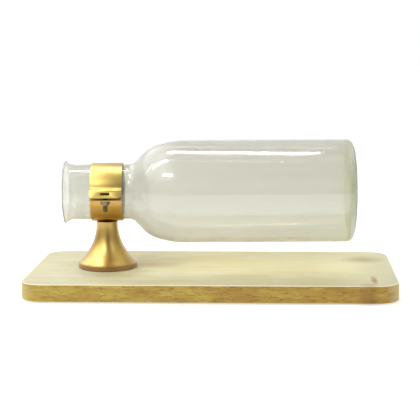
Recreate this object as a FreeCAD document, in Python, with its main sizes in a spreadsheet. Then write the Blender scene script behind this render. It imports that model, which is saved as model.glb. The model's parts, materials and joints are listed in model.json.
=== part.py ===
import FreeCAD, Part
import math
import os
from types import SimpleNamespace

import Sketcher

# A glass bottle on its side, held by its neck in a two-part brass clamp on a flared pedestal.
# Millimetres, +Z up. The origin is on the table under the centre of the board, +X runs along
# the board away from the pedestal, and -Y is the front. The clamp and the bottle share a local
# frame: the bottle's axis is local X, and the pedestal's axis crosses it at the local origin.

SIZES = {
    "pad_radius": 6,
    "pad_thickness": 1.5,
    "pad_inset": 24,
    "board_length": 360,
    "board_depth": 184,
    "board_thickness": 17,
    "board_corner": 22,
    "board_ease": 1.2,
    "pedestal_x": -106,
    "pedestal_height": 47,
    "pedestal_rim": 29.5,
    "pedestal_waist": 10.8,
    "pedestal_waist_height": 44.8,
    "pedestal_sweep": 50.3,
    "pedestal_ease": 1.2,
    "foot_screw_radius": 3,
    "foot_screw_length": 22,
    "foot_screw_flats": 10,
    "foot_screw_head": 4,
    "foot_washer_radius": 9,
    "foot_washer_thickness": 1.6,
    "foot_bore_depth": 16,
    "counterbore_radius": 10,
    "counterbore_depth": 8,
    "foot_hole_radius": 3.3,
    "thread_gap": 0.02,
    "axis_height": 76.2,
    "head_turn": 3.06,
    "strap_radius": 28.2,
    "strap_thickness": 0.9,
    "strap_width": 31.2,
    "strap_shift": 1.1,
    "ear_reach": 40,
    "ear_corner": 3.5,
    "upper_leave": 17,
    "upper_bend": 2.4,
    "upper_ear_height": 6.5,
    "upper_fold": 3.6,
    "tongue_slant": 30,
    "tongue_end": -1.25,
    "tongue_slot_length": 9,
    "tongue_slot_width": 2.4,
    "tongue_slot_height": 2.5,
    "lower_leave": 15,
    "lower_bend": 1.8,
    "lower_ear_height": -3.9,
    "hook_out": 35,
    "hook_radius": 2.4,
    "hook_hole_radius": 2.7,
    "hook_end": -15.4,
    "blade_length": 8.6,
    "blade_thickness": 1.4,
    "blade_reach": 2.7,
    "slot_width": 1.2,
    "screw_chamfer": 0.5,
    "nut_flats": 8,
    "nut_height": 5,
    "collar_height": 1.7,
    "collar_radius": 3.6,
    "collar_tip": 2.9,
    "nut_chamfer": 0.6,
    "running_gap": 0.05,
    "pivot_head_radius": 4,
    "pivot_radius": 2,
    "pivot_drop": 0.1,
    "pivot_length": 13.7,
    "pivot_bore_depth": 14.5,
    "dimple_wall": 1.1,
    "dimple_gap": 0.1,
    "liner_inner": 27.75,
    "liner_outer": 28.15,
    "liner_width": 30.8,
    "neck_radius": 27.7,
    "wall": 2.2,
    "flare_start": 32.1,
    "flare_radius": 10.1,
    "flare_angle": 50,
    "neck_end": 22,
    "shoulder_fillet": 10,
    "shoulder_angle": 46,
    "shoulder_round": 34,
    "crown_angle": 17.5,
    "crown_round": 100,
    "body_radius": 51.5,
    "base_at": 246.6,
    "heel": 7.5,
    "inner_heel": 5,
    "base_wall": 3.5,
    "push_up_radius": 38,
    "push_up": 2.6,
    "push_up_flat": 12,
}

doc = FreeCAD.newDocument("BottleStand")
sheet = doc.addObject("Spreadsheet::Sheet", "Sizes")
for row, (alias, number) in enumerate(SIZES.items(), start=1):
    sheet.set(f"A{row}", alias)
    sheet.set(f"B{row}", str(number))
    sheet.setAlias(f"B{row}", alias)
doc.recompute()


class Size:
    """A number that keeps the expression over the sheet's cells which gives it."""

    def __init__(self, number, text):
        self.number = number
        self.text = text

    def __add__(self, other):
        other = as_size(other)
        return Size(self.number + other.number, f"({self.text} + {other.text})")

    def __sub__(self, other):
        other = as_size(other)
        return Size(self.number - other.number, f"({self.text} - {other.text})")

    def __mul__(self, other):
        other = as_size(other)
        return Size(self.number * other.number, f"{self.text} * {other.text}")

    def __truediv__(self, other):
        other = as_size(other)
        return Size(self.number / other.number, f"{self.text} / {other.text}")

    def __neg__(self):
        return as_size(0) - self


def as_size(value):
    return value if isinstance(value, Size) else Size(float(value), f"{float(value)}")


def sine(degrees):
    return Size(math.sin(math.radians(degrees.number)), f"sin({degrees.text})")


def cosine(degrees):
    return Size(math.cos(math.radians(degrees.number)), f"cos({degrees.text})")


def root(square):
    return Size(math.sqrt(square.number), f"sqrt({square.text})")


d = SimpleNamespace(**{alias: Size(float(number), f"Sizes.{alias}") for alias, number in SIZES.items()})
ZERO = as_size(0)
ON_AXIS = 1e-9


def new_body(label):
    body = doc.addObject("PartDesign::Body", label)
    body.Label = label
    return body


def place(body, x, y, z, turn=ZERO):
    """Puts a sub-part at x, y, z, turned about the vertical by turn degrees."""
    turned = FreeCAD.Rotation(FreeCAD.Vector(0, 0, 1), turn.number)
    body.Placement = FreeCAD.Placement(FreeCAD.Vector(x.number, y.number, z.number), turned)
    for axis, value in (("x", x), ("y", y), ("z", z)):
        body.setExpression(f"Placement.Base.{axis}", value.text)


def new_sketch(body, plane, name, lift=None):
    """A sketch on one of the body's own origin planes, or lift above it."""
    sketch = body.newObject("Sketcher::SketchObject", f"{body.Label}_{name}")
    origin_plane = [item for item in body.Origin.OriginFeatures if item.Role == plane][0]
    sketch.AttachmentSupport = [(origin_plane, "")]
    sketch.MapMode = "FlatFace"
    if lift is not None:
        sketch.setExpression("AttachmentOffset.Base.z", lift.text)
    return sketch


def point(x, y):
    return FreeCAD.Vector(x.number, y.number, 0)


def draw(sketch, outline):
    """A closed outline. An entry is a corner (x, y), whose edge to the next corner is straight,
    or (x, y, centre x, centre y, radius), whose edge is an arc of less than half a turn."""
    rules = []
    bound = []
    last = len(outline) - 1
    ends = []
    for number, entry in enumerate(outline):
        start = point(*entry[:2])
        after = outline[0 if number == last else number + 1]
        end = point(*after[:2])
        if len(entry) == 2:
            index = sketch.addGeometry(Part.LineSegment(start, end), False)
        else:
            centre = point(*entry[2:4])
            middle = (start + end) * 0.5 - centre
            middle.normalize()
            arc = Part.Arc(start, centre + middle * entry[4].number, end)
            index = sketch.addGeometry(arc, False)
            bound.append((len(rules), entry[4]))
            rules.append(Sketcher.Constraint("Radius", index, entry[4].number))
        near = 1 if (sketch.getPoint(index, 1) - start).Length < (sketch.getPoint(index, 2) - start).Length else 2
        ends.append((index, near, 3 - near))
        for kind, value, axis in (("DistanceX", entry[0], -2), ("DistanceY", entry[1], -1)):
            if abs(value.number) < ON_AXIS:
                rules.append(Sketcher.Constraint("PointOnObject", index, near, axis))
            else:
                bound.append((len(rules), value))
                rules.append(Sketcher.Constraint(kind, -1, 1, index, near, value.number))
    for number, (index, _, far) in enumerate(ends):
        follower, near, _ = ends[0 if number == last else number + 1]
        rules.append(Sketcher.Constraint("Coincident", index, far, follower, near))
    sketch.addConstraint(rules)
    for rule, value in bound:
        sketch.setExpression(f"Constraints[{rule}]", value.text)


def circle(sketch, x, y, radius):
    """A circle bound to its centre and radius."""
    shape = Part.Circle(point(x, y), FreeCAD.Vector(0, 0, 1), radius.number)
    index = sketch.addGeometry(shape, False)
    rule = sketch.addConstraint(Sketcher.Constraint("Radius", index, radius.number))
    sketch.setExpression(f"Constraints[{rule}]", radius.text)
    for kind, value, axis in (("DistanceX", x, -2), ("DistanceY", y, -1)):
        if abs(value.number) < ON_AXIS:
            sketch.addConstraint(Sketcher.Constraint("PointOnObject", index, 3, axis))
        else:
            rule = sketch.addConstraint(Sketcher.Constraint(kind, -1, 1, index, 3, value.number))
            sketch.setExpression(f"Constraints[{rule}]", value.text)


def pad(body, sketch, length, symmetric=False):
    feature = body.newObject("PartDesign::Pad", f"{sketch.Name}_pad")
    feature.Profile = sketch
    feature.SideType = "Symmetric" if symmetric else "One side"
    feature.setExpression("Length", length.text)
    doc.recompute()


def cut_through(body, sketch):
    """Cuts the sketch out of the body all the way, both ways from the sketch's plane."""
    volume = body.Shape.Volume
    feature = body.newObject("PartDesign::Pocket", f"{sketch.Name}_pocket")
    feature.Profile = sketch
    feature.SideType = "Two sides"
    feature.Type = "ThroughAll"
    feature.Type2 = "ThroughAll"
    doc.recompute()
    assert body.Shape.Volume < volume, f"{sketch.Name} cut nothing"


def cut_up(body, sketch, depth):
    """Cuts the sketch out of the body, depth upwards from the sketch's plane."""
    volume = body.Shape.Volume
    feature = body.newObject("PartDesign::Pocket", f"{sketch.Name}_pocket")
    feature.Profile = sketch
    feature.Reversed = True
    feature.setExpression("Length", depth.text)
    doc.recompute()
    assert body.Shape.Volume < volume, f"{sketch.Name} cut nothing"


def turn(body, sketch, axis="V_Axis", kind="Revolution"):
    """Turns the sketch about one of its axes, to add material or, as a Groove, to cut it."""
    volume = body.Shape.Volume if body.Tip else 0
    feature = body.newObject(f"PartDesign::{kind}", f"{sketch.Name}_turned")
    feature.Profile = sketch
    feature.ReferenceAxis = (sketch, [axis])
    feature.Angle = 360
    doc.recompute()
    grew = body.Shape.Volume > volume
    assert grew == (kind == "Revolution"), f"{sketch.Name} changed the wrong way"


def ease(body, radius, wanted):
    """Rounds every edge of the body for which wanted(edge) holds."""
    shape = body.Shape
    edges = [f"Edge{number}" for number, edge in enumerate(shape.Edges, start=1) if wanted(edge)]
    assert edges, f"{body.Label} has no such edge"
    base = body.Tip
    feature = body.newObject("PartDesign::Fillet", f"{body.Label}_ease_{len(body.Group)}")
    feature.Base = (base, edges)
    feature.setExpression("Radius", radius.text)
    doc.recompute()


def upright(edge):
    """Whether an edge is a straight vertical one."""
    box = edge.BoundBox
    return box.XLength < ON_AXIS * 1e3 and box.YLength < ON_AXIS * 1e3


# Heights above the table
BOARD_BOTTOM = d.pad_thickness
BOARD_TOP = d.pad_thickness + d.board_thickness
AXIS = BOARD_TOP + d.axis_height

SIDES = {"front": -1, "back": 1}


def make_pads():
    """Four round pads under the board's corners."""
    along = d.board_length / 2 - d.pad_inset
    across = d.board_depth / 2 - d.pad_inset
    for side, y_sign in SIDES.items():
        for end, x_sign in (("left", -1), ("right", 1)):
            body = new_body(f"pad_{side}_{end}")
            sketch = new_sketch(body, "XY_Plane", "outline")
            circle(sketch, ZERO, ZERO, d.pad_radius)
            pad(body, sketch, d.pad_thickness)
            place(body, along * x_sign, across * y_sign, ZERO)


def make_board():
    """The plank, with rounded corners, eased faces and a counterbored hole for the foot screw."""
    body = new_body("base_board")
    sketch = new_sketch(body, "XY_Plane", "outline")
    right = d.board_length / 2
    rear = d.board_depth / 2
    draw(sketch, [(-right, -rear), (right, -rear), (right, rear), (-right, rear)])
    pad(body, sketch, d.board_thickness)
    ease(body, d.board_corner, upright)
    ease(body, d.board_ease, lambda edge: edge.BoundBox.ZLength < ON_AXIS * 1e3)
    hole = new_sketch(body, "XY_Plane", "screw_hole")
    circle(hole, d.pedestal_x, ZERO, d.foot_hole_radius)
    cut_through(body, hole)
    counterbore = new_sketch(body, "XY_Plane", "counterbore")
    circle(counterbore, d.pedestal_x, ZERO, d.counterbore_radius)
    cut_up(body, counterbore, d.counterbore_depth)
    place(body, ZERO, ZERO, BOARD_BOTTOM)


def pivot_levels():
    """Heights of the pivot screw's head top and cone bottom, above the board's top."""
    head_top = d.axis_height - d.strap_radius - d.pivot_drop
    cone_bottom = head_top - (d.pivot_head_radius - d.pivot_radius)
    return head_top, cone_bottom


def dimple_inner(height):
    """Radius of the inside of the lower strap's conical dimple at a height above the board."""
    head_top, _ = pivot_levels()
    gap = d.running_gap * 1.5
    return d.pivot_head_radius + gap + height - head_top


def make_pedestal():
    """The turned column: one sweeping arc from waist to rim, a bore at each end, and a conical
    seat at the top for the lower strap's dimple."""
    body = new_body("pedestal")
    sketch = new_sketch(body, "XZ_Plane", "profile")
    centre_r = d.pedestal_waist + d.pedestal_sweep
    out = centre_r - d.pedestal_rim
    rim_top = d.pedestal_waist_height - root(d.pedestal_sweep * d.pedestal_sweep - out * out)
    _, cone_bottom = pivot_levels()
    seat_bottom = cone_bottom - d.dimple_gap
    seat_out = d.dimple_wall + d.dimple_gap
    foot_bore = d.foot_screw_radius + d.thread_gap
    top_bore = d.pivot_radius + d.thread_gap
    bore_end = d.pedestal_height - d.pivot_bore_depth
    draw(
        sketch,
        [
            (ZERO, d.foot_bore_depth),
            (foot_bore, d.foot_bore_depth),
            (foot_bore, ZERO),
            (d.pedestal_rim, ZERO),
            (d.pedestal_rim, rim_top, centre_r, d.pedestal_waist_height, d.pedestal_sweep),
            (d.pedestal_waist, d.pedestal_waist_height),
            (d.pedestal_waist, d.pedestal_height),
            (dimple_inner(d.pedestal_height) + seat_out, d.pedestal_height),
            (dimple_inner(seat_bottom) + seat_out, seat_bottom),
            (top_bore, seat_bottom),
            (top_bore, bore_end),
            (ZERO, bore_end),
        ],
    )
    turn(body, sketch)
    level = d.pedestal_height.number
    ease(body, d.pedestal_ease, lambda edge: is_ring(edge, d.pedestal_rim.number, rim_top.number))
    ease(body, d.screw_chamfer, lambda edge: is_ring(edge, d.pedestal_waist.number, level))
    place(body, d.pedestal_x, ZERO, BOARD_TOP)


def is_ring(edge, radius, height):
    """Whether an edge is a circle of a given radius at a given height."""
    curve = edge.Curve
    if not isinstance(curve, Part.Circle):
        return False
    return abs(curve.Radius - radius) < 1e-3 and abs(edge.BoundBox.ZMax - height) < 1e-3


def hexagon(flats):
    """The corners of a hexagon with two flats facing front and back."""
    corner = flats / math.sqrt(3)
    half = corner / 2
    flat = flats / 2
    return [(corner, ZERO), (half, flat), (-half, flat), (-corner, ZERO), (-half, -flat), (half, -flat)]


def chamfer_hexagon(body, flats, bottom, top, chamfer):
    """Turns the corners of a hexagon down at the heights bottom and top, as a nut's are."""
    reach = flats * 0.6
    flat = flats / 2
    for name, level, inward in (("lower", bottom, 1), ("upper", top, -1)):
        if level is None:
            continue
        sketch = new_sketch(body, "XZ_Plane", f"{name}_chamfer")
        draw(sketch, [(flat, level), (reach, level), (reach, level + chamfer * inward)])
        turn(body, sketch, kind="Groove")


def make_foot_screw():
    """The hexagon screw and the washer that hold the pedestal, in the board's counterbore."""
    seat = BOARD_BOTTOM + d.counterbore_depth
    washer = new_body("pedestal_washer")
    ring = new_sketch(washer, "XY_Plane", "outline")
    circle(ring, ZERO, ZERO, d.foot_washer_radius)
    circle(ring, ZERO, ZERO, d.foot_hole_radius)
    pad(washer, ring, d.foot_washer_thickness)
    place(washer, d.pedestal_x, ZERO, seat - d.foot_washer_thickness)

    screw = new_body("pedestal_screw")
    head = new_sketch(screw, "XY_Plane", "head")
    draw(head, hexagon(d.foot_screw_flats))
    pad(screw, head, d.foot_screw_head)
    chamfer_hexagon(screw, d.foot_screw_flats, ZERO, None, d.nut_chamfer)
    shank = new_sketch(screw, "XZ_Plane", "shank")
    tip = d.foot_screw_head + d.foot_screw_length
    radius = d.foot_screw_radius
    draw(
        shank,
        [
            (ZERO, d.foot_screw_head / 2),
            (radius, d.foot_screw_head / 2),
            (radius, tip - d.screw_chamfer),
            (radius - d.screw_chamfer, tip),
            (ZERO, tip),
        ],
    )
    turn(screw, shank)
    place(screw, d.pedestal_x, ZERO, seat - d.foot_washer_thickness - d.foot_screw_head)


def make_pivot_screw():
    """The countersunk screw that holds the lower strap down and lets it swivel."""
    body = new_body("pivot_screw")
    sketch = new_sketch(body, "XZ_Plane", "profile")
    head_top, cone_bottom = pivot_levels()
    tip = head_top - d.pivot_length
    draw(
        sketch,
        [
            (ZERO, head_top),
            (d.pivot_head_radius, head_top),
            (d.pivot_radius, cone_bottom),
            (d.pivot_radius, tip + d.screw_chamfer),
            (d.pivot_radius - d.screw_chamfer, tip),
            (ZERO, tip),
        ],
    )
    turn(body, sketch)
    slot = new_sketch(body, "XZ_Plane", "slot")
    half = d.slot_width / 2
    floor = head_top - d.slot_width
    draw(slot, [(-half, floor), (half, floor), (half, head_top + 1), (-half, head_top + 1)])
    cut_through(body, slot)
    place(body, d.pedestal_x, ZERO, BOARD_TOP)


def backwards(outline):
    """An open outline run the other way, so that each arc is carried by its other end."""
    turned = [outline[-1][:2]]
    for entry in reversed(outline[:-1]):
        turned[-1] = (*turned[-1], *entry[2:])
        turned.append(entry[:2])
    return turned


def mirrored(outline):
    """The same outline on the other side of the bottle."""
    return [(-entry[0], entry[1], *((-entry[2], *entry[3:]) if entry[2:] else ())) for entry in outline]


def flat_end(low, high):
    """The end of a flat ear whose faces are at the heights low and high."""
    return [(d.ear_reach, low), (d.ear_reach, high)]


def folded_end(low, high):
    """The end of an ear that folds down into a slanted tongue, square across its tip."""
    fold_z = (low + high) / 2 - d.upper_fold
    tight = d.upper_fold - d.strap_thickness / 2
    wide = d.upper_fold + d.strap_thickness / 2
    outward = cosine(d.tongue_slant)
    upward = sine(d.tongue_slant)
    length = (fold_z + wide * upward - d.tongue_end) / outward
    fold_x = d.ear_reach - wide * outward - length * upward

    def on_tongue(radius, down):
        return fold_x + radius * outward + down * upward, fold_z + radius * upward - down * outward

    return [
        (fold_x, low, fold_x, fold_z, tight),
        on_tongue(tight, ZERO),
        on_tongue(tight, length),
        on_tongue(wide, length),
        (*on_tongue(wide, ZERO), fold_x, fold_z, wide),
        (fold_x, high),
    ]


def band_side(leave, bend, ear_height, up, ear_end):
    """One side of a strap's outline, out along its inner face and back along its outer one, in
    (out, height) points. The ring stops at leave degrees above (up = 1) or below (up = -1) the
    bottle's axis, runs straight on and bends outwards into an ear, which ear_end finishes."""
    half = d.strap_thickness / 2
    middle = d.strap_radius + half
    outward = cosine(leave)
    upward = sine(leave) * up
    turn_drop = bend - bend * sine(leave)
    straight = (middle * sine(leave) - ear_height * up - turn_drop) / cosine(leave)
    start = (middle * outward, middle * upward)
    knee = (start[0] + straight * sine(leave), start[1] - straight * cosine(leave) * up)
    centre = (knee[0] + bend * outward, knee[1] + bend * upward)

    def beside(at, offset):
        return at[0] + outward * offset, at[1] + upward * offset

    inner = bend + half
    outer = bend - half
    return [
        beside(start, -half),
        (*beside(knee, -half), *centre, inner),
        (centre[0], centre[1] - inner * up),
        *ear_end(centre[1] - inner * up, centre[1] - outer * up),
        (centre[0], centre[1] - outer * up, *centre, outer),
        beside(knee, half),
        beside(start, half),
    ]


def make_strap(label, side, up):
    """Half of the band round the neck, padded along the bottle's axis, with an ear on each side."""
    body = new_body(label)
    sketch = new_sketch(body, "YZ_Plane", "band", lift=d.strap_shift)
    outer_radius = d.strap_radius + d.strap_thickness
    over = (ZERO, ZERO, outer_radius)
    within = (ZERO, ZERO, d.strap_radius)
    outline = [*side[:-1], (*side[-1], *over), (ZERO, outer_radius * up, *over)]
    outline += mirrored(backwards(side))
    outline[-1] = (*outline[-1], *within)
    outline.append((ZERO, d.strap_radius * up, *within))
    draw(sketch, outline)
    pad(body, sketch, d.strap_width, symmetric=True)
    return body


def is_tongue_corner(edge):
    """Whether an edge is one of the short ones across the thickness, at the tip of a tongue."""
    return edge.BoundBox.XLength < 1e-6 and abs(edge.Length - d.strap_thickness.number) < 1e-6


def make_upper_strap():
    """The removable half, whose ears fold down into tongues with a slot for each hook's blade."""
    side = band_side(d.upper_leave, d.upper_bend, d.upper_ear_height, 1, folded_end)
    body = make_strap("strap_upper", side, 1)
    ease(body, d.ear_corner, is_tongue_corner)
    slot = new_sketch(body, "XZ_Plane", "tongue_slot")
    low, high = slot_heights()
    left = d.strap_shift - d.tongue_slot_length / 2
    right = d.strap_shift + d.tongue_slot_length / 2
    draw(slot, [(left, low), (right, low), (right, high), (left, high)])
    cut_through(body, slot)
    return body


def slot_heights():
    """The lower and upper edges of the slots in the tongues, above the bottle's axis."""
    half = d.tongue_slot_width / 2
    return d.tongue_slot_height - half, d.tongue_slot_height + half


def make_lower_strap():
    """The half that stays on the pedestal, with flat ears and a dimple for the pivot screw."""
    side = band_side(d.lower_leave, d.lower_bend, d.lower_ear_height, -1, flat_end)
    body = make_strap("strap_lower", side, -1)
    reach = d.ear_reach.number
    ease(body, d.ear_corner, lambda edge: upright(edge) and abs(abs(edge.BoundBox.YMin) - reach) < 1e-3)
    holes = new_sketch(body, "XY_Plane", "hook_holes")
    for sign in SIDES.values():
        circle(holes, d.strap_shift, d.hook_out * sign, d.hook_hole_radius)
    cut_through(body, holes)
    add_dimple(body)
    return body


def add_dimple(body):
    """The cone pressed into the lower strap, which the pivot screw's head fills."""
    head_top, cone_bottom = pivot_levels()
    drop = -d.axis_height
    radius = dimple_inner
    wall = d.dimple_wall
    band = d.axis_height - d.strap_radius - d.strap_thickness / 2
    cup = new_sketch(body, "XZ_Plane", "dimple")
    draw(
        cup,
        [
            (ZERO, cone_bottom + drop),
            (radius(cone_bottom) + wall, cone_bottom + drop),
            (radius(band) + wall, band + drop),
            (ZERO, band + drop),
        ],
    )
    turn(body, cup)
    above = d.axis_height - d.strap_radius + 1
    inside = new_sketch(body, "XZ_Plane", "dimple_inside")
    draw(
        inside,
        [
            (ZERO, cone_bottom - 1 + drop),
            (radius(cone_bottom), cone_bottom - 1 + drop),
            (radius(cone_bottom), cone_bottom + drop),
            (radius(above), above + drop),
            (ZERO, above + drop),
        ],
    )
    turn(body, inside, kind="Groove")


def make_straps():
    for body in (make_upper_strap(), make_lower_strap()):
        place(body, d.pedestal_x, ZERO, AXIS, d.head_turn)


def place_at_ears(body, sign, height, turned=ZERO):
    """Puts a sub-part on the axis of one side's hook, at a height above the bottle's axis."""
    out = d.hook_out * sign
    along = d.strap_shift
    place(
        body,
        d.pedestal_x + along * cosine(d.head_turn) - out * sine(d.head_turn),
        along * sine(d.head_turn) + out * cosine(d.head_turn),
        AXIS + height,
        d.head_turn + turned,
    )


def make_clamp_hook(side, sign):
    """A threaded shank with a flat blade on top, which hooks outwards through a tongue's slot.
    Its own origin is on its axis at the height of the bottle's, with the blade towards +Y."""
    body = new_body(f"clamp_hook_{side}")
    radius = d.hook_radius
    slot_bottom, _ = slot_heights()
    blade_bottom = slot_bottom + d.running_gap
    shank = new_sketch(body, "XZ_Plane", "shank")
    draw(
        shank,
        [
            (ZERO, blade_bottom + d.blade_thickness / 2),
            (radius, blade_bottom + d.blade_thickness / 2),
            (radius, d.hook_end + d.screw_chamfer),
            (radius - d.screw_chamfer, d.hook_end),
            (ZERO, d.hook_end),
        ],
    )
    turn(body, shank)
    blade = new_sketch(body, "XY_Plane", "blade", lift=blade_bottom)
    half = d.blade_length / 2
    reach = d.blade_reach
    draw(blade, [(-half, -radius), (half, -radius), (half, reach), (-half, reach)])
    pad(body, blade, d.blade_thickness)
    place_at_ears(body, sign, ZERO, as_size(90 - 90 * sign))


def make_clamp_nut(side, sign):
    """A lock nut under the lower ear, with its tapered collar below its hexagon. Its own origin
    is on its underside."""
    body = new_body(f"clamp_nut_{side}")
    bore = d.hook_radius + d.running_gap
    sketch = new_sketch(body, "XY_Plane", "outline", lift=d.collar_height)
    draw(sketch, hexagon(d.nut_flats))
    circle(sketch, ZERO, ZERO, bore)
    pad(body, sketch, d.nut_height - d.collar_height)
    chamfer_hexagon(body, d.nut_flats, d.collar_height, d.nut_height, d.nut_chamfer)
    collar = new_sketch(body, "XZ_Plane", "collar")
    within = d.collar_height + d.nut_chamfer
    draw(
        collar,
        [
            (bore, ZERO),
            (d.collar_tip, ZERO),
            (d.collar_radius, d.collar_height),
            (d.collar_radius, within),
            (bore, within),
        ],
    )
    turn(body, collar)
    place_at_ears(body, sign, d.lower_ear_height - d.strap_thickness / 2 - d.nut_height)


def make_liner():
    """The thin sleeve between the straps and the glass."""
    body = new_body("neck_liner")
    sketch = new_sketch(body, "YZ_Plane", "ring", lift=d.strap_shift)
    circle(sketch, ZERO, ZERO, d.liner_outer)
    circle(sketch, ZERO, ZERO, d.liner_inner)
    pad(body, sketch, d.liner_width, symmetric=True)
    place(body, d.pedestal_x, ZERO, AXIS, d.head_turn)


def glass_surface(depth):
    """The bottle's outline from mouth to body, depth into the glass from its outer surface."""
    flare = d.flare_radius + depth
    flare_at = (-d.flare_start, d.neck_radius + d.flare_radius)
    lip = (flare_at[0] - flare * sine(d.flare_angle), flare_at[1] - flare * cosine(d.flare_angle))
    fillet = d.shoulder_fillet + depth
    fillet_at = (d.neck_end, d.neck_radius + d.shoulder_fillet)
    steep = (sine(d.shoulder_angle), cosine(d.shoulder_angle))
    easy = (sine(d.crown_angle), cosine(d.crown_angle))
    fillet_end = (fillet_at[0] + fillet * steep[0], fillet_at[1] - fillet * steep[1])
    climb = d.body_radius - d.neck_radius - (d.shoulder_fillet - d.shoulder_fillet * steep[1])
    climb = climb - d.shoulder_round * (easy[1] - steep[1]) - (d.crown_round - d.crown_round * easy[1])
    run = climb / steep[0] * steep[1]
    round_start = (fillet_end[0] + run, fillet_end[1] + climb)
    round_radius = d.shoulder_round - depth
    round_at = (round_start[0] + round_radius * steep[0], round_start[1] - round_radius * steep[1])
    crown_start = (round_at[0] - round_radius * easy[0], round_at[1] + round_radius * easy[1])
    crown = d.crown_round - depth
    crown_at = (crown_start[0] + crown * easy[0], d.body_radius - d.crown_round)
    return [
        (*lip, *flare_at, flare),
        (flare_at[0], d.neck_radius - depth),
        (d.neck_end, d.neck_radius - depth, *fillet_at, fillet),
        fillet_end,
        (*round_start, *round_at, round_radius),
        (*crown_start, *crown_at, crown),
        (crown_at[0], d.body_radius - depth),
    ]


def make_bottle():
    """Clear glass: a rounded lip, a flared mouth, a straight neck, shoulders, a long body and a
    thicker base that is pushed up in the middle."""
    body = new_body("bottle")
    sketch = new_sketch(body, "XZ_Plane", "section")
    outer = glass_surface(ZERO)
    inner = glass_surface(d.wall)
    half = d.wall / 2
    lip_middle = ((outer[0][0] + inner[0][0]) / 2, (outer[0][1] + inner[0][1]) / 2)
    lip_tip = (lip_middle[0] - half * cosine(d.flare_angle), lip_middle[1] + half * sine(d.flare_angle))
    spread = d.push_up_radius - d.push_up_flat
    dome = (spread * spread + d.push_up * d.push_up) / (d.push_up * 2)
    base_inside = d.base_at - d.base_wall
    inner_radius = d.body_radius - d.wall
    outer_heel = (d.base_at - d.heel, d.body_radius - d.heel)
    inner_heel = (base_inside - d.inner_heel, inner_radius - d.inner_heel)
    dome_at = d.base_at - d.push_up + dome
    outside = outer + [
        (outer_heel[0], d.body_radius, *outer_heel, d.heel),
        (d.base_at, outer_heel[1]),
        (d.base_at, d.push_up_radius, dome_at, d.push_up_flat, dome),
        (d.base_at - d.push_up, d.push_up_flat),
        (d.base_at - d.push_up, ZERO),
    ]
    inside = inner + [
        (inner_heel[0], inner_radius, *inner_heel, d.inner_heel),
        (base_inside, inner_heel[1]),
        (base_inside, d.push_up_radius, dome_at - d.base_wall, d.push_up_flat, dome),
        (base_inside - d.push_up, d.push_up_flat),
        (base_inside - d.push_up, ZERO),
    ]
    lip = [(*inner[0][:2], *lip_middle, half), (*lip_tip, *lip_middle, half)]
    returning = backwards(inside)
    draw(sketch, outside + returning[:-1] + lip)
    turn(body, sketch, axis="H_Axis")
    place(body, d.pedestal_x, ZERO, AXIS, d.head_turn)


make_pads()
make_board()
make_pedestal()
make_foot_screw()
make_pivot_screw()
make_straps()
for side, sign in SIDES.items():
    make_clamp_hook(side, sign)
    make_clamp_nut(side, sign)
make_liner()
make_bottle()
doc.recompute()

for item in doc.Objects:
    assert not {"Invalid", "Error"} & set(item.State), f"{item.Label} failed: {item.State}"

os.makedirs("parts", exist_ok=True)
for body in [item for item in doc.Objects if item.TypeId == "PartDesign::Body"]:
    assert not body.Shape.isNull() and body.Shape.isValid(), f"{body.Label} has no valid shape"
    assert body.Shape.Volume > 0, f"{body.Label} is inside out"
    assert len(body.Shape.Solids) == 1, f"{body.Label} is not one solid"
    body.Shape.exportStep(f"parts/{body.Label}.step")
    box = body.Shape.BoundBox
    print(f"{body.Label}: {box.XLength:.1f} x {box.YLength:.1f} x {box.ZLength:.1f} mm")
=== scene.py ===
import json
import math

import bmesh
import bpy
from mathutils import Matrix, Vector, noise


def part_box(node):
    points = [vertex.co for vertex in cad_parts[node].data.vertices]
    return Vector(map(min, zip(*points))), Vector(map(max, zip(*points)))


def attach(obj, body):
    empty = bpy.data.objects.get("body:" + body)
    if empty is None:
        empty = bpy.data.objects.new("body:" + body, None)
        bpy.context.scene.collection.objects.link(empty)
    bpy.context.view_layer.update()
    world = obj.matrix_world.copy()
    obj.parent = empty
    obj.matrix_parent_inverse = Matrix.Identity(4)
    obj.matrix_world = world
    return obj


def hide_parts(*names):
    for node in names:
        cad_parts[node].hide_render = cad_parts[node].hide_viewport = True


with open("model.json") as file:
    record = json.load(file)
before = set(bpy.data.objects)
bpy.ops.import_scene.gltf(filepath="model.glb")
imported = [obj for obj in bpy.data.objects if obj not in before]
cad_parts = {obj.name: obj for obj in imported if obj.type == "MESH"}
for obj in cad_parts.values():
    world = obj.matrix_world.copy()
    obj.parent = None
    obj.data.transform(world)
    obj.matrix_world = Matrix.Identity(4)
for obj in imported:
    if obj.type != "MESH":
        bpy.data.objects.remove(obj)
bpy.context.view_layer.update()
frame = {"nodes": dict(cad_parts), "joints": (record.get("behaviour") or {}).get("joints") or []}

# A glass bottle held by its neck in a brass clamp, on a flared pedestal and a pale wooden board.
# Metres. The row frame is the CAD model's: +X along the board, -Y the front, +Z up.

MM = 0.001

# ---------------------------------------------------------------- places read from the frame

JOINTS = {joint["name"]: joint for joint in frame["joints"]}
_, BOARD_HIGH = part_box("base_board")
PEDESTAL_LOW, PEDESTAL_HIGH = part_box("pedestal")
BOTTLE_AT = Vector(JOINTS["bottle_spin"]["pos_m"])
BOTTLE_AXIS = Vector(JOINTS["bottle_spin"]["axis"])
HEAD_TURN = math.atan2(BOTTLE_AXIS.y, BOTTLE_AXIS.x)

# local X is the bottle's axis, and the pedestal's axis crosses it at the local origin
HEAD = Matrix.Translation(BOTTLE_AT) @ Matrix.Rotation(HEAD_TURN, 4, "Z")
# a turned shape's own Z axis laid along the bottle's axis
ALONG = HEAD @ Matrix.Rotation(math.radians(90), 4, "Y")


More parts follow.
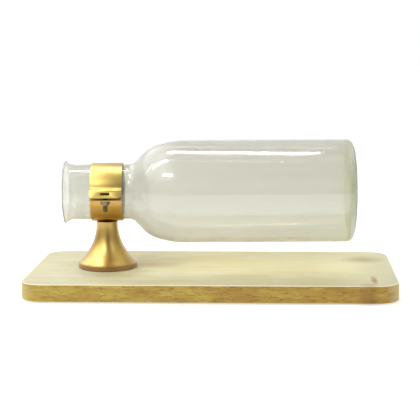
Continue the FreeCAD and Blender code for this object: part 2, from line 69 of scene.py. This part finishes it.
# the bottle in millimetres: radii across its axis, and places along it from the pedestal's axis
WALL = 2.2
NECK = 27.7
BODY = 51.5
BASE_AT = 246.6
FLARE, FLARE_AT, FLARE_TURN = 10.1, -32.1, math.radians(50)
NECK_END = 22.0
FILLET, ROUND, CROWN = 10, 34, 100
STEEP, EASY = math.radians(46), math.radians(17.5)
HEEL, INNER_HEEL = 7.5, 5
BASE_WALL = 3.5
FOOT, PUSH_UP, FLAT_MIDDLE = 38, 2.6, 12

# the pedestal in millimetres: a sweep of radius SWEEP narrows it to WAIST
WAIST, WAIST_AT, SWEEP = 10.8, 44.8, 50.3
SWEEP_FOOT = 6.1
RIM_TOP = 4.6
SOCKET, SOCKET_DEPTH = 4.3, 1.3


# ---------------------------------------------------------------- meshes


def add_mesh(name, verts, faces, place, sharp=30):
    """A new object from points and faces, placed by a matrix that goes into its mesh."""
    mesh = bpy.data.meshes.new(name)
    mesh.from_pydata([place @ Vector(v) for v in verts], [], faces)
    piece = bpy.data.objects.new(name, mesh)
    bpy.context.scene.collection.objects.link(piece)
    tidy(mesh, sharp)
    return piece


def tidy(mesh, sharp):
    """Faces outwards, shaded smooth but for edges that turn by more than sharp degrees."""
    work = bmesh.new()
    work.from_mesh(mesh)
    bmesh.ops.recalc_face_normals(work, faces=work.faces)
    work.to_mesh(mesh)
    work.free()
    mesh.polygons.foreach_set("use_smooth", [True] * len(mesh.polygons))
    mesh.set_sharp_from_angle(angle=math.radians(sharp))


def finish_mesh(work, name, sharp):
    """A new object from a bmesh, which is freed."""
    mesh = bpy.data.meshes.new(name)
    work.to_mesh(mesh)
    work.free()
    piece = bpy.data.objects.new(name, mesh)
    bpy.context.scene.collection.objects.link(piece)
    tidy(mesh, sharp)
    return piece


def evenly(start, end, count):
    """Evenly spaced numbers from start to end, both included."""
    return [start + (end - start) * i / count for i in range(count + 1)]


def bend(centre, across, along, turns):
    """Points about centre, one for each turn in radians, with a signed radius for each direction."""
    return [(centre[0] + across * math.cos(t), centre[1] + along * math.sin(t)) for t in turns]


def arc(centre, radius, start, end, count=12):
    """Points on an arc about centre, from start to end degrees, both ends included."""
    return bend(centre, radius, radius, [math.radians(t) for t in evenly(start, end, count)])


def lathe(name, outline, place, steps=160, sharp=30, wobble=None):
    """Turns a closed outline of (radius, height) points about local Z. Points on the axis become
    poles. wobble(radius, height, angle) may return a changed radius."""
    verts = []
    rows = []
    for radius, height in outline:
        count = 1 if radius < 1e-7 else steps
        rows.append([len(verts) + i for i in range(count)])
        for i in range(count):
            angle = math.tau * i / steps
            r = wobble(radius, height, angle) if wobble and count > 1 else radius
            verts.append((r * math.cos(angle), r * math.sin(angle), height))
    faces = []
    for one, two in zip(rows, rows[1:] + rows[:1]):
        if len(one) == 1 and len(two) == 1:
            continue
        for i in range(steps):
            j = (i + 1) % steps
            corners = [one[i % len(one)], one[j % len(one)], two[j % len(two)], two[i % len(two)]]
            faces.append(list(dict.fromkeys(corners)))
    return add_mesh(name, verts, faces, place, sharp)


def eased_copy(node, name, width, least=35):
    """A copy of a CAD node with its edges that turn by more than least degrees rounded over."""
    work = bmesh.new()
    work.from_mesh(frame["nodes"][node].data)
    bmesh.ops.remove_doubles(work, verts=work.verts, dist=1e-6)
    bmesh.ops.dissolve_limit(work, angle_limit=math.radians(0.3), verts=work.verts, edges=work.edges)
    inner = [edge for edge in work.edges if len(edge.link_faces) == 2]
    hard = [edge for edge in inner if edge.calc_face_angle(0) > math.radians(least)]
    round_over(work, hard, width, clamp_overlap=True)
    return finish_mesh(work, name, 40)


def round_over(work, edges, width, clamp_overlap=False):
    """Bevels edges of a bmesh into small rounds."""
    bmesh.ops.bevel(
        work,
        geom=edges,
        offset=width,
        offset_type="OFFSET",
        segments=3,
        profile=0.5,
        affect="EDGES",
        clamp_overlap=clamp_overlap,
    )


# ---------------------------------------------------------------- materials


class Shader:
    """A material and short ways to add nodes to it. Textures read the row frame's own metres."""

    def __init__(self, name):
        self.material = bpy.data.materials.new(name)
        self.material.use_nodes = True
        self.tree = self.material.node_tree
        self.surface = self.tree.nodes["Principled BSDF"]
        self.place = self.tree.nodes.new("ShaderNodeTexCoord").outputs["Object"]

    def set(self, **values):
        for name, value in values.items():
            self.surface.inputs[name.replace("_", " ")].default_value = value

    def node(self, kind, inputs=(), **settings):
        made = self.tree.nodes.new(f"ShaderNode{kind}")
        for name, value in settings.items():
            setattr(made, name, value)
        for name, value in dict(inputs).items():
            if isinstance(value, bpy.types.NodeSocket):
                self.tree.links.new(value, made.inputs[name])
            else:
                made.inputs[name].default_value = value
        return made

    def stretched(self, scale, turn=(0, 0, 0), shift=(0, 0, 0)):
        """Places scaled by an amount along each axis, for grain and brush marks."""
        inputs = {"Vector": self.place, "Scale": scale, "Rotation": turn, "Location": shift}
        return self.node("Mapping", inputs).outputs[0]

    def noise(self, place, scale, detail=4, rough=0.55, distortion=0):
        inputs = {
            "Vector": place,
            "Scale": scale,
            "Detail": detail,
            "Roughness": rough,
            "Distortion": distortion,
        }
        return self.node("TexNoise", inputs).outputs[0]

    def spread(self, value, low, high, to_low=0, to_high=1):
        inputs = {
            "Value": value,
            "From Min": low,
            "From Max": high,
            "To Min": to_low,
            "To Max": to_high,
        }
        return self.node("MapRange", inputs).outputs[0]

    def mix(self, share, one, two, blend="MIX"):
        made = self.node("Mix", data_type="RGBA", blend_type=blend)
        for socket, value in ((made.inputs[0], share), (made.inputs[6], one), (made.inputs[7], two)):
            if isinstance(value, bpy.types.NodeSocket):
                self.tree.links.new(value, socket)
            else:
                socket.default_value = value
        return made.outputs[2]

    def maths(self, operation, one, two=0.0, three=0.0):
        return self.node("Math", {0: one, 1: two, 2: three}, operation=operation).outputs[0]

    def link(self, value, name):
        self.tree.links.new(value, self.surface.inputs[name])

    def bump(self, height, strength, distance):
        inputs = {"Height": height, "Strength": strength, "Distance": distance}
        self.link(self.node("Bump", inputs).outputs[0], "Normal")


def tint(red, green, blue):
    """A colour given as it looks on screen, from 0 to 255, in the linear values that shaders use."""

    def linear(value):
        value /= 255
        return value / 12.92 if value <= 0.04045 else ((value + 0.055) / 1.055) ** 2.4

    return linear(red), linear(green), linear(blue), 1.0


def blob(shader, at, size):
    """1 at a place, falling to 0 at size away along each axis, for knots and stains."""
    shift = tuple(-a / s for a, s in zip(at, size))
    scale = tuple(1 / s for s in size)
    near = shader.stretched(scale, shift=shift)
    length = shader.node("VectorMath", {0: near}, operation="LENGTH").outputs["Value"]
    return shader.spread(length, 1.0, 0.2)


def make_wood():
    """A pale plank: bleached on top, golden and flecked along its sides, paler at its ends."""
    shader = Shader("pale_plank")
    warp = shader.noise(shader.stretched((6, 30, 30)), 1.0, 3, 0.6)
    # growth rings about a line under the board, a little out of line with it
    turn = (0.0, math.radians(3), math.radians(4))
    rings_at = shader.stretched((1, 1, 1), turn=turn, shift=(0, 0.07, 0.11))
    pith = shader.node("SeparateXYZ", {0: rings_at})
    across = shader.maths("POWER", pith.outputs["Y"], 2.0)
    upwards = shader.maths("POWER", pith.outputs["Z"], 2.0)
    radius = shader.maths("SQRT", shader.maths("ADD", across, upwards))
    radius = shader.maths("ADD", radius, shader.maths("MULTIPLY", warp, 0.022))
    rings = shader.maths("SINE", shader.maths("MULTIPLY", radius, 1150.0))
    rings = shader.spread(rings, -1.0, 1.0)
    fibre = shader.noise(shader.stretched((9, 420, 420)), 1.0, 6, 0.7)
    pores = shader.noise(shader.stretched((55, 1500, 1500)), 1.0, 3, 0.6)
    pore = shader.spread(pores, 0.34, 0.24)
    cloud = shader.noise(shader.stretched((9, 22, 22), shift=(3.1, 0.4, 1.7)), 1.0, 4, 0.6)
    patch = shader.noise(shader.stretched((16, 34, 34), shift=(7.7, 1.2, 0.3)), 1.0, 5, 0.65)

    top = shader.mix(shader.spread(cloud, 0.35, 0.7), tint(197, 192, 157), tint(187, 179, 136))
    top = shader.mix(shader.maths("MULTIPLY", rings, 0.34), top, tint(188, 180, 136))
    top = shader.mix(shader.spread(patch, 0.48, 0.66, 0, 0.7), top, tint(178, 165, 112))
    top = shader.mix(shader.spread(patch, 0.46, 0.32, 0, 0.7), top, tint(208, 207, 184))
    top = shader.mix(shader.spread(fibre, 0.48, 0.7, 0, 0.6), top, tint(168, 152, 98))
    top = shader.mix(shader.maths("MULTIPLY", pore, 0.45), top, tint(150, 128, 78))
    # paler towards the two ends; between them, from the middle rightwards, a painted shadow of the
    # bottle
    length = shader.node("SeparateXYZ", {0: shader.place}).outputs["X"]
    top = shader.mix(shader.spread(length, -0.03, -0.16, 0, 0.45), top, tint(218, 214, 184))
    # painted shadow of the bottle, darkening the top from the middle rightwards
    top = shader.mix(shader.spread(length, -0.07, 0.02, 0, 0.45), top, tint(180, 172, 132))
    top = shader.mix(shader.spread(length, 0.10, 0.16, 0, 0.5), top, tint(212, 209, 178))

    # slanting flecks on the sides, browner towards the right
    along = shader.spread(length, -0.18, 0.16)
    flecks = shader.noise(shader.stretched((140, 60, 760), turn=(0, math.radians(17), 0)), 1.0, 5, 0.7)
    mottle = shader.noise(shader.stretched((55, 60, 170), turn=(0, math.radians(9), 0)), 1.0, 4, 0.6)
    side = shader.mix(along, tint(180, 156, 62), tint(168, 137, 48))
    side = shader.mix(shader.spread(mottle, 0.42, 0.68, 0, 0.75), side, tint(150, 113, 34))
    side = shader.mix(shader.spread(mottle, 0.45, 0.28, 0, 0.6), side, tint(184, 168, 82))
    side = shader.mix(shader.maths("MULTIPLY", rings, 0.15), side, tint(140, 104, 40))
    dark_share = shader.maths("MULTIPLY_ADD", along, 0.2, 0.72)
    dark_share = shader.maths("MULTIPLY", shader.spread(flecks, 0.5, 0.66), dark_share)
    side = shader.mix(dark_share, side, tint(112, 76, 22))

    normal = shader.node("SeparateXYZ", {0: shader.node("NewGeometry").outputs["Normal"]})
    ends = shader.spread(shader.maths("ABSOLUTE", normal.outputs["X"]), 0.35, 0.95, 0, 0.55)
    side = shader.mix(ends, side, tint(206, 192, 132))
    lean = shader.maths("ABSOLUTE", normal.outputs["Z"])
    wear = shader.maths("ADD", lean, shader.spread(cloud, 0.3, 0.7, -0.08, 0.08))
    colour = shader.mix(shader.spread(wear, 0.55, 0.85), side, top)
    # a painted highlight along the rounded top edges, where the top turns down into the sides
    up = normal.outputs["Z"]
    corner = shader.spread(up, 0.3, 0.5, 0, 0.8)
    corner = shader.maths("MULTIPLY", shader.spread(up, 0.997, 0.93), corner)
    colour = shader.mix(corner, colour, tint(238, 233, 206))

    # a grey knot, a brown streak near the front edge, a wide painted shade over the middle of the top,
    # a darker patch and a stain at a front corner
    for at, size, strength, dark in (
        ((0.152, 0.044, BOARD_HIGH.z), (0.026, 0.024, 0.03), 0.75, tint(152, 138, 92)),
        ((0.157, -0.064, BOARD_HIGH.z), (0.004, 0.026, 0.03), 0.85, tint(156, 118, 50)),
        # painted shade over the middle of the top, damping the lamps' bright spot there
        ((0.010, 0.040, BOARD_HIGH.z), (0.075, 0.024, 0.03), 0.4, tint(172, 155, 100)),
        ((-0.056, 0.012, BOARD_HIGH.z), (0.034, 0.024, 0.03), 0.55, tint(158, 138, 88)),
        ((0.150, -0.092, BOARD_HIGH.z - 0.012), (0.012, 0.02, 0.02), 0.6, tint(124, 84, 28)),
    ):
        share = shader.maths("MULTIPLY", blob(shader, at, size), strength)
        colour = shader.mix(share, colour, dark)
    shader.link(colour, "Base Color")
    shader.link(shader.spread(fibre, 0.3, 0.8, 0.5, 0.68), "Roughness")
    relief = shader.maths("ADD", fibre, flecks)
    relief = shader.maths("SUBTRACT", relief, shader.maths("MULTIPLY", pore, 0.8))
    shader.bump(relief, 0.3, 0.0004)
    return shader.material


def make_brass(name, colour, worn, rough, brushed, coat, foot=None):
    """Satin brass, duller in patches, with fine brush marks of the given scale under a lacquer of
    roughness coat. Below the height foot its colour is darkened, a painted dark reflection on the rim
    band."""
    shader = Shader(name)
    shader.set(Metallic=1.0, Coat_Weight=0.9, Coat_Roughness=coat, Coat_IOR=2.0)
    cloud = shader.noise(shader.stretched((70, 70, 70)), 1.0, 4, 0.6)
    marks = shader.noise(shader.stretched(brushed), 1.0, 5, 0.6)
    base = shader.mix(shader.spread(cloud, 0.35, 0.7), colour, worn)
    base = shader.mix(shader.spread(marks, 0.55, 0.8, 0, 0.1), base, worn)
    if foot:
        height = shader.node("SeparateXYZ", {0: shader.place}).outputs["Z"]
        # painted dark reflection below foot, on the pedestal's rim band
        below = shader.spread(height, foot + 0.0002, foot - 0.0004, 0, 0.8)
        base = shader.mix(below, base, tint(140, 90, 20))
    shader.link(base, "Base Color")
    shader.link(shader.spread(marks, 0.3, 0.7, rough - 0.03, rough + 0.04), "Roughness")
    shader.bump(marks, 0.02, 0.00001)
    return shader.material


def make_steel(name, colour, worn):
    shader = Shader(name)
    shader.set(Metallic=1.0)
    cloud = shader.noise(shader.stretched((300, 300, 300)), 1.0, 4, 0.6)
    shader.link(shader.mix(shader.spread(cloud, 0.3, 0.7), colour, worn), "Base Color")
    shader.link(shader.spread(cloud, 0.3, 0.7, 0.34, 0.5), "Roughness")
    shader.bump(cloud, 0.15, 0.00008)
    return shader.material


def make_glass():
    """Clear glass, greener towards its thick base and darkest round the edge it would stand on."""
    shader = Shader("clear_glass")
    shader.set(Roughness=0.0, IOR=1.46, Alpha=0.86, Transmission_Weight=0.90)
    clear, green, rim = (0.715, 0.71, 0.64, 1.0), (0.66, 0.67, 0.47, 1.0), (0.10, 0.13, 0.06, 1.0)
    along = shader.node("VectorMath", {0: shader.place, 1: tuple(BOTTLE_AXIS)}, operation="DOT_PRODUCT")
    along = shader.maths("SUBTRACT", along.outputs["Value"], BOTTLE_AT.dot(BOTTLE_AXIS))
    base = BASE_AT * MM
    tinted = shader.mix(shader.spread(along, base - 0.014, base - 0.003, 0, 0.8), clear, green)
    tinted = shader.mix(shader.spread(along, base - 0.0026, base - 0.0012), tinted, rim)
    shader.link(tinted, "Base Color")
    ripple = shader.noise(shader.stretched((22, 22, 22)), 1.0, 2, 0.5)
    shader.bump(ripple, 0.25, 0.0006)
    return shader.material


def make_rubber(name, colour):
    shader = Shader(name)
    speckle = shader.noise(shader.stretched((1800, 1800, 1800)), 1.0, 3, 0.6)
    dust = shader.noise(shader.stretched((90, 90, 90)), 1.0, 3, 0.6)
    lighter = tuple(min(1.0, c * 1.5) for c in colour[:3]) + (1.0,)
    shader.link(shader.mix(shader.spread(dust, 0.35, 0.7, 0, 0.6), colour, lighter), "Base Color")
    shader.link(shader.spread(speckle, 0.3, 0.7, 0.7, 0.9), "Roughness")
    shader.bump(speckle, 0.3, 0.00008)
    return shader.material


ROUND_THE_PEDESTAL, ALONG_THE_BAND = (60, 60, 900), (900, 60, 60)

WOOD = make_wood()
PEDESTAL_BRASS = make_brass(
    "turned_brass",
    tint(192, 155, 24),
    tint(182, 141, 16),
    0.35,
    ROUND_THE_PEDESTAL,
    0.32,
    PEDESTAL_LOW.z + (RIM_TOP + 0.6) * MM,
)
STRAP_BRASS = make_brass(
    "strap_brass", tint(187, 158, 26), tint(176, 144, 18), 0.38, ALONG_THE_BAND, 0.38
)
# the lower strap's copy of the strap brass, painted warmer and more orange: a painted reflection of the
# wooden board beneath it
LOWER_STRAP_BRASS_PAINTED_GLOW = make_brass(
    "strap_brass_painted_board_glow", tint(200, 154, 10), tint(188, 138, 6), 0.38, ALONG_THE_BAND, 0.3
)
STEEL = make_steel("dull_steel", tint(150, 143, 122), tint(112, 102, 80))
# a shaded copy of the steel for the hook blades, painted dark as the shade inside the tongue's slit
STEEL_PAINTED_SHADE = make_steel("steel_painted_shade", tint(66, 54, 34), tint(44, 36, 22))
GLASS = make_glass()
LINER_RUBBER = make_rubber("liner_rubber", tint(182, 170, 128))
PAD_RUBBER = make_rubber("pad_rubber", tint(44, 43, 42))


def dress(piece, material):
    """Gives a piece one material."""
    piece.data.materials.clear()
    piece.data.materials.append(material)
    return piece


def stand_for(piece, node, body, material):
    """Puts a piece in a CAD node's place."""
    dress(piece, material)
    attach(piece, body)
    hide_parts(node)


# ---------------------------------------------------------------- the bottle


def glass_outline(depth):
    """The bottle's (radius, along) outline from mouth to body in millimetres, depth inside it."""
    climb = BODY - NECK - FILLET * (1 - math.cos(STEEP))
    climb -= ROUND * (math.cos(EASY) - math.cos(STEEP)) + CROWN * (1 - math.cos(EASY))
    flare_at = (NECK + FLARE, FLARE_AT)
    fillet_at = (NECK + FILLET, NECK_END)
    fillet_end = bend(fillet_at, -FILLET, FILLET, [STEEP])[0]
    round_start = (fillet_end[0] + climb, fillet_end[1] + climb / math.tan(STEEP))
    round_at = bend(round_start, -ROUND, ROUND, [STEEP])[0]
    crown_at = (BODY - CROWN, round_at[1] + (CROWN - ROUND) * math.sin(EASY))
    outline = bend(flare_at, -(FLARE + depth), -(FLARE + depth), evenly(FLARE_TURN, 0, 14))
    outline += [(NECK - depth, along) for along in evenly(FLARE_AT, NECK_END, 10)[1:-1]]
    outline += bend(fillet_at, -(FILLET + depth), FILLET + depth, evenly(0, STEEP, 10))
    outline += bend(round_at, ROUND - depth, depth - ROUND, evenly(STEEP, EASY, 10))
    outline += bend(crown_at, CROWN - depth, depth - CROWN, evenly(EASY, 0, 14)[1:])
    return outline


def make_bottle():
    outer = glass_outline(0)
    inner = glass_outline(WALL)
    straight = [(BODY, along) for along in evenly(outer[-1][1], BASE_AT - HEEL, 24)[1:-1]]
    heel = arc((BODY - HEEL, BASE_AT - HEEL), HEEL, 0, 90, 12)
    # a shallow dome pushed up inside the foot, flat in the middle
    spread = FOOT - FLAT_MIDDLE
    dome = (spread**2 + PUSH_UP**2) / (2 * PUSH_UP)
    dome_at = (FLAT_MIDDLE, BASE_AT - PUSH_UP + dome)
    under = bend(dome_at, dome, -dome, evenly(math.pi / 2 - math.asin(spread / dome), math.pi / 2, 10))
    outer += straight + heel + under + [(0.0, BASE_AT - PUSH_UP)]
    base = BASE_AT - BASE_WALL
    inner += [(BODY - WALL, along) for _, along in straight if along < base - INNER_HEEL]
    inner += arc((BODY - WALL - INNER_HEEL, base - INNER_HEEL), INNER_HEEL, 0, 90, 10)
    inner += [(r, along - BASE_WALL) for r, along in under] + [(0.0, base - PUSH_UP)]
    # the lip's own round end, from the inner surface to the outer one
    one, two = Vector(inner[0]), Vector(outer[0])
    middle = (one + two) / 2
    start = math.degrees(math.atan2(one.y - middle.y, one.x - middle.x))
    lip = arc(middle, WALL / 2, start, start + 180, 10)[1:-1]
    if lip[len(lip) // 2][1] > middle.y:
        lip = arc(middle, WALL / 2, start, start - 180, 10)[1:-1]

    def wobble(radius, height, angle):
        """Blown glass: its walls wander by a few hundredths of a millimetre, most inside the body."""
        at = Vector((math.cos(angle) * 1.3, math.sin(angle) * 1.3, height / MM * 0.022))
        share = 1.0 if radius / MM < BODY - 0.5 * WALL and height / MM > 30 else 0.25
        return radius - 0.07 * MM * share * (1 + noise.noise(at))

    outline = [(r * MM, x * MM) for r, x in outer + list(reversed(inner)) + lip]
    piece = lathe("bottle_glass", outline, ALONG, steps=192, sharp=60, wobble=wobble)
    # the glass casts no shadow; the board carries a painted shadow of the bottle instead
    piece.visible_shadow = False
    stand_for(piece, "bottle", "glass", GLASS)


# ---------------------------------------------------------------- the pedestal


def make_pedestal():
    """The turned column, with a fine step under its sweep and a turned edge on top."""
    middle = (PEDESTAL_LOW + PEDESTAL_HIGH) / 2
    place = Matrix.Translation((middle.x, middle.y, PEDESTAL_LOW.z))
    rim = (PEDESTAL_HIGH.x - PEDESTAL_LOW.x) / 2 / MM
    top = (PEDESTAL_HIGH.z - PEDESTAL_LOW.z) / MM
    last = math.asin((WAIST_AT - SWEEP_FOOT) / SWEEP)
    outline = [(0.0, 0.0), (rim - 0.6, 0.0), (rim, 0.6), (rim, RIM_TOP)]
    outline += arc((rim - 1.0, RIM_TOP), 1.0, 0, 52, 6)
    outline += bend((WAIST + SWEEP, WAIST_AT), -SWEEP, -SWEEP, evenly(last, 0, 40))
    outline += [(WAIST, top - 0.5)] + arc((WAIST - 0.5, top - 0.5), 0.5, 0, 90, 6)
    outline += [(SOCKET + SOCKET_DEPTH, top), (SOCKET, top - SOCKET_DEPTH), (0.0, top - SOCKET_DEPTH)]
    outline = [(r * MM, height * MM) for r, height in outline]
    piece = lathe("pedestal_column", outline, place, steps=192, sharp=35)
    stand_for(piece, "pedestal", "stand", PEDESTAL_BRASS)


# ---------------------------------------------------------------- the clamp


def make_straps():
    for node, body, brass in (
        ("strap_upper", "clamp_top", STRAP_BRASS),
        # the lower strap wears the brass with the painted reflection of the board
        ("strap_lower", "clamp_base", LOWER_STRAP_BRASS_PAINTED_GLOW),
    ):
        piece = eased_copy(node, f"{node}_band", 0.22 * MM)
        stand_for(piece, node, body, brass)


def thread(name, place, outer, pitch, low, high, steps=48):
    """A closed rod with a helical thread from height low to high."""
    rows_a_turn = 12
    rows = int((high - low) / pitch * rows_a_turn)
    depth = pitch * 0.55
    verts = []
    for row in range(rows + 1):
        height = low + (high - low) * row / rows
        for i in range(steps):
            turn_share = ((height / pitch) - i / steps) % 1.0
            ridge = abs(2 * turn_share - 1)
            radius = outer - depth * min(1.0, max(0.0, (1 - ridge) * 1.25 - 0.1))
            radius -= max(0.0, low + 0.5 * MM - height)
            angle = math.tau * i / steps
            verts.append((radius * math.cos(angle), radius * math.sin(angle), height))
    faces = []
    for row in range(rows):
        for i in range(steps):
            j = (i + 1) % steps
            one, two = row * steps, (row + 1) * steps
            faces.append([one + i, one + j, two + j, two + i])
    faces.append(list(range(steps)))
    faces.append([rows * steps + i for i in range(steps)])
    return add_mesh(name, verts, faces, place, 50)


def make_blade(name, place, half, back, reach, thick):
    """A flat bar with rounded edges: half its length either way along X, -back to reach along Y."""
    work = bmesh.new()
    flat = ((-half, -back), (half, -back), (half, reach), (-half, reach))
    corners = [work.verts.new(place @ Vector((x, y, z))) for z in (0, thick) for x, y in flat]
    for face in ((0, 1, 2, 3), (4, 5, 6, 7), (0, 1, 5, 4), (1, 2, 6, 5), (2, 3, 7, 6), (3, 0, 4, 7)):
        work.faces.new([corners[i] for i in face])
    round_over(work, work.edges[:], 0.3 * MM)
    return finish_mesh(work, name, 30)


def make_clamp_hooks():
    """Each hook's blade, and its threaded shank."""
    thick = 1.4 * MM
    for side, turned in (("front", 180), ("back", 0)):
        node = f"clamp_hook_{side}"
        low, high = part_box(node)
        axis = JOINTS[f"{side}_nut_turn"]["pos_m"]
        spin = Matrix.Rotation(HEAD_TURN + math.radians(turned), 4, "Z")
        place = Matrix.Translation((axis[0], axis[1], high.z - thick)) @ spin
        blade = make_blade(f"hook_blade_{side}", place, 4.3 * MM, 2.4 * MM, 2.7 * MM, thick)
        # the blade is painted dark, as shade in the slit
        stand_for(blade, node, "clamp_top", STEEL_PAINTED_SHADE)
        bottom = low.z - high.z + thick
        rod = thread(f"hook_thread_{side}", place, 2.38 * MM, 0.8 * MM, bottom, 0.3 * MM)
        dress(rod, STEEL)
        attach(rod, "clamp_top")


def make_clamp_nuts():
    for side in ("front", "back"):
        node = f"clamp_nut_{side}"
        piece = eased_copy(node, f"{node}_hex", 0.15 * MM, least=25)
        stand_for(piece, node, f"{side}_nut", STEEL)


# ---------------------------------------------------------------- the board and what stays CAD


def make_board():
    piece = eased_copy("base_board", "board_plank", 0.1 * MM, least=60)
    stand_for(piece, "base_board", "stand", WOOD)


def dress_cad_nodes():
    """Materials for the CAD nodes whose own shape is right."""
    for node, material in (
        ("neck_liner", LINER_RUBBER),
        ("pivot_screw", STEEL),
        ("pedestal_screw", STEEL),
        ("pedestal_washer", STEEL),
        *[(name, PAD_RUBBER) for name in frame["nodes"] if name.startswith("pad_")],
    ):
        dress(frame["nodes"][node], material)


make_bottle()
make_pedestal()
make_straps()
make_clamp_hooks()
make_clamp_nuts()
make_board()
dress_cad_nodes()


# ---------------------------------------------------------------- stage, light and camera


def make_floor():
    half = 6.0
    verts = [(-half, -half, 0), (half, -half, 0), (half, half, 0), (-half, half, 0)]
    floor = add_mesh("studio_floor", verts, [(0, 1, 2, 3)], Matrix.Identity(4))
    shader = Shader("pale_floor")
    speck = shader.noise(shader.stretched((4, 4, 4)), 1.0, 2, 0.5)
    shader.link(shader.mix(speck, (0.93, 0.93, 0.93, 1), (0.95, 0.95, 0.95, 1)), "Base Color")
    shader.set(Roughness=0.9, Emission_Color=(1, 1, 1, 1), Emission_Strength=0.4)
    dress(floor, shader.material)


def make_light(name, at, size, radiance, turn=0):
    """A rectangular soft box of a given brightness at a place, facing the clamp."""
    data = bpy.data.lights.new(name, "AREA")
    data.shape = "RECTANGLE"
    data.size, data.size_y = size
    data.energy = radiance * math.pi * size[0] * size[1]
    light = bpy.data.objects.new(name, data)
    away = Vector(at) - BOTTLE_AT
    facing = away.to_track_quat("Z", "Y").to_matrix().to_4x4()
    light.matrix_world = Matrix.Translation(at) @ facing @ Matrix.Rotation(math.radians(turn), 4, "Z")
    bpy.context.scene.collection.objects.link(light)


RAMP_SOCKETS = ("From Min", "From Max", "To Min", "To Max")


def make_world():
    """White for the camera, and a little dimmer for the light it gives. What the brass and glass
    mirror is brighter high on both sides and dimmer in front, where the photographer would be, with
    a dark band there from the horizon almost to overhead."""
    world = bpy.data.worlds.new("studio")
    bpy.context.scene.world = world
    world.use_nodes = True
    nodes, links = world.node_tree.nodes, world.node_tree.links
    background = nodes["Background"]
    rays = nodes.new("ShaderNodeLightPath")
    direction = nodes.new("ShaderNodeTexCoord").outputs["Generated"]

    def maths(operation, one, two, third=0.0):
        made = nodes.new("ShaderNodeMath")
        made.operation = operation
        for socket, value in zip(made.inputs, (one, two, third)):
            if isinstance(value, bpy.types.NodeSocket):
                links.new(value, socket)
            else:
                socket.default_value = value
        return made.outputs[0]

    def ramp(value, start, end, at_start, at_end):
        """A smooth change from at_start to at_end as a value goes from start to end."""
        made = nodes.new("ShaderNodeMapRange")
        made.interpolation_type = "SMOOTHSTEP"
        links.new(value, made.inputs["Value"])
        for name, number in zip(RAMP_SOCKETS, (start, end, at_start, at_end)):
            made.inputs[name].default_value = number
        return made.outputs["Result"]

    split = nodes.new("ShaderNodeSeparateXYZ")
    links.new(direction, split.inputs[0])
    x, y, z = split.outputs
    front = ramp(y, 0.1, -0.35, 0.0, 1.0)
    low = ramp(z, 0.85, 0.45, 0.0, 0.45)
    dimmed = maths("SUBTRACT", 1.0, maths("MULTIPLY", front, low))
    # the dark band, a little to the right of the camera
    aside = maths("ABSOLUTE", maths("SUBTRACT", x, 0.19), 0.0)
    band = maths("MULTIPLY", ramp(aside, 0.30, 0.06, 0.0, 0.85), ramp(y, -0.1, -0.4, 0.0, 1.0))
    left = maths("MULTIPLY", ramp(x, -0.1, -0.45, 0.0, 2.0), ramp(z, 0.3, 0.6, 0.0, 1.0))
    right = maths("MULTIPLY", ramp(x, 0.35, 0.6, 0.0, 1.6), ramp(z, 0.35, 0.6, 0.0, 1.0))
    high = ramp(z, 0.2, 0.5, 1.0, 0.72)
    ends = ramp(maths("ABSOLUTE", x, 0.0), 0.8, 0.97, 1.0, 0.6)
    mirrored = maths("MULTIPLY", high, maths("SUBTRACT", 1.0, band))
    mirrored = maths("MULTIPLY", maths("MULTIPLY", dimmed, ends), mirrored)
    mirrored = maths("ADD", mirrored, maths("ADD", left, right))
    plain = maths("MULTIPLY_ADD", rays.outputs["Is Camera Ray"], 0.40, 0.62)
    seen = nodes.new("ShaderNodeMix")
    links.new(rays.outputs["Is Glossy Ray"], seen.inputs["Factor"])
    links.new(plain, seen.inputs["A"])
    links.new(mirrored, seen.inputs["B"])
    background.inputs["Color"].default_value = (1.0, 1.0, 1.0, 1.0)
    links.new(seen.outputs["Result"], background.inputs["Strength"])


def make_camera():
    data = bpy.data.cameras.new("camera")
    data.sensor_width = 36
    data.lens = 111.47
    data.clip_end = 100
    camera = bpy.data.objects.new("camera", data)
    turn = Matrix.Rotation(math.radians(3.081), 4, "Z")
    tilt = Matrix.Rotation(math.radians(90 - 8.290), 4, "X")
    roll = Matrix.Rotation(math.radians(-0.334), 4, "Z")
    camera.matrix_world = Matrix.Translation((0.06666, -1.28429, 0.26383)) @ turn @ tilt @ roll
    bpy.context.scene.collection.objects.link(camera)
    bpy.context.scene.camera = camera


make_floor()
make_world()
make_light("top_strip", (-0.07, 0.20, 0.95), (0.5, 0.09), 20.0, turn=-10)
make_light("left_bar", (-0.52, -0.18, 0.97), (0.13, 0.45), 12.0)
make_light("far_left_bar", (-0.98, -0.10, 0.95), (0.10, 0.60), 5.0)
make_light("front_left_box", (-0.44, -0.83, 0.93), (0.24, 0.16), 22.0)
make_camera()
bpy.context.scene.view_settings.view_transform = "Standard"
